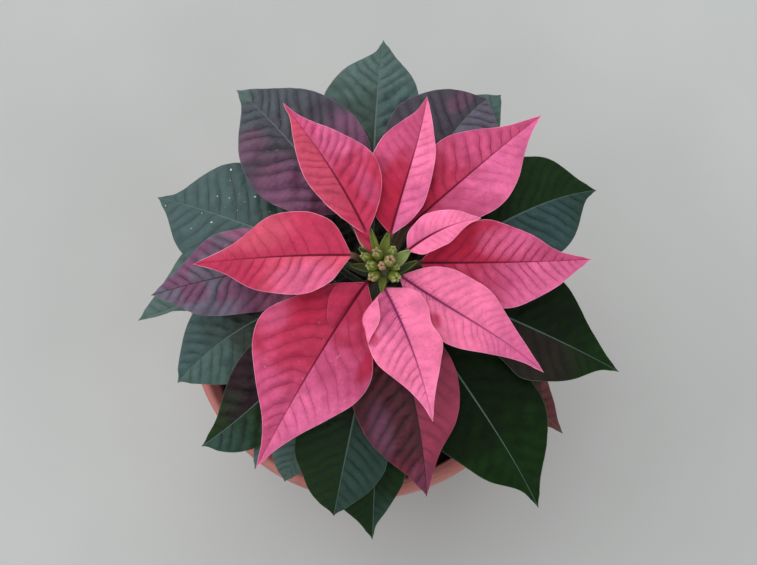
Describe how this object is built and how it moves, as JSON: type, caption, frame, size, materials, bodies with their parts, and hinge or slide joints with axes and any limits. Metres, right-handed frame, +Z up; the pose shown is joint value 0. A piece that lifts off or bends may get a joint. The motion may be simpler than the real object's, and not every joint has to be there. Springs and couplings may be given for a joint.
{
  "type": "potted poinsettia",
  "caption": "Single-bloom poinsettia with pink bracts above purple and green leaves on one leaning stem, in a tapered round pot of soil.",
  "frame": {"origin": "middle of the pot's underside, on its flat bottom face", "axes": "+Z up along the pot's axis, +X to the right of the picture and +Y towards its top, away from the viewer"},
  "size_m": [0.2309, 0.2425, 0.2748],
  "materials": {
    "pot": "matte",
    "soil": "matte",
    "stem": "matte",
    "flower_head": "satin",
    "bract": "matte",
    "leaf_turning": "satin",
    "leaf_green": "satin"
  },
  "bodies": {
    "root": {"pot": "pot", "soil": "soil", "stem": "stem", "flower_head": "flower_head", "bract_upper_left": "bract", "bract_upper": "bract", "bract_upper_right": "bract", "bract_small_right": "bract", "bract_right": "bract", "bract_lower_right": "bract", "bract_lower": "bract", "bract_lower_left": "bract", "bract_left": "bract", "bract_tiny": "bract", "leaf_turning_upper_left": "leaf_turning", "leaf_turning_upper_right": "leaf_turning", "leaf_turning_left": "leaf_turning", "leaf_turning_lower": "leaf_turning", "leaf_turning_lower_left": "leaf_turning", "leaf_green_top": "leaf_green", "leaf_green_upper_right": "leaf_green", "leaf_green_upper_left": "leaf_green", "leaf_green_left": "leaf_green", "leaf_green_lower_left": "leaf_green", "leaf_green_low_left": "leaf_green", "leaf_green_lowest_left": "leaf_green", "leaf_green_lower": "leaf_green", "leaf_green_bottom": "leaf_green", "leaf_green_lower_right": "leaf_green", "leaf_green_right": "leaf_green", "leaf_green_far_right": "leaf_green", "leaf_maroon_low_right": "leaf_turning"}
  },
  "joints": []
}
